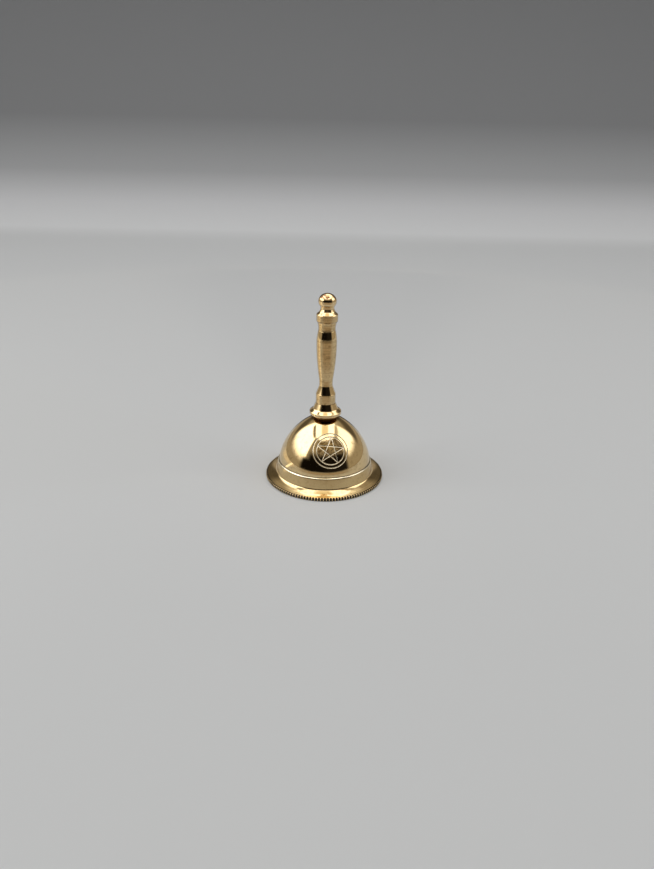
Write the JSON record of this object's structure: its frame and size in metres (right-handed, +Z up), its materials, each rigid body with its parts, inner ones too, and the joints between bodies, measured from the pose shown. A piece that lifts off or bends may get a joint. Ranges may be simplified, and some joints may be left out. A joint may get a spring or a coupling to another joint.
{
  "type": "hand bell",
  "caption": "Small turned brass hand bell with a flared, milled mouth, a turned handle and a ball clapper hanging inside on a link.",
  "frame": {"origin": "centre of the mouth plane, on the surface that the bell stands on", "axes": "+Z up along the axis of the bell and its handle; -Y faces the engraved emblem's side"},
  "size_m": [0.0408, 0.0408, 0.0635],
  "materials": {
    "brass_polished": "mirror-polished turned brass",
    "brass_turned": "turned and polished brass, with fine tool lines on the grip",
    "brass_inner": "turned brass, left unpolished",
    "steel": "zinc-plated steel"
  },
  "bodies": {
    "bell": {"bell_shell": "brass_polished", "handle": "brass_turned", "eye_bolt": "steel", "washer": "brass_inner", "lock_nut": "steel"},
    "link": {"link": "brass_inner"},
    "clapper": {"clapper_wire": "steel", "clapper_ball": "brass_inner"}
  },
  "joints": [
    {"name": "clapper_swing", "type": "hinge", "parent": "bell", "child": "link", "pos_m": [0, 0, 0.01595], "axis": [0, 1, 0], "range_deg": [-53, 53]},
    {"name": "clapper_sway", "type": "hinge", "parent": "link", "child": "clapper", "pos_m": [0, 0, 0.0139], "axis": [1, 0, 0], "range_deg": [-15, 15]}
  ]
}
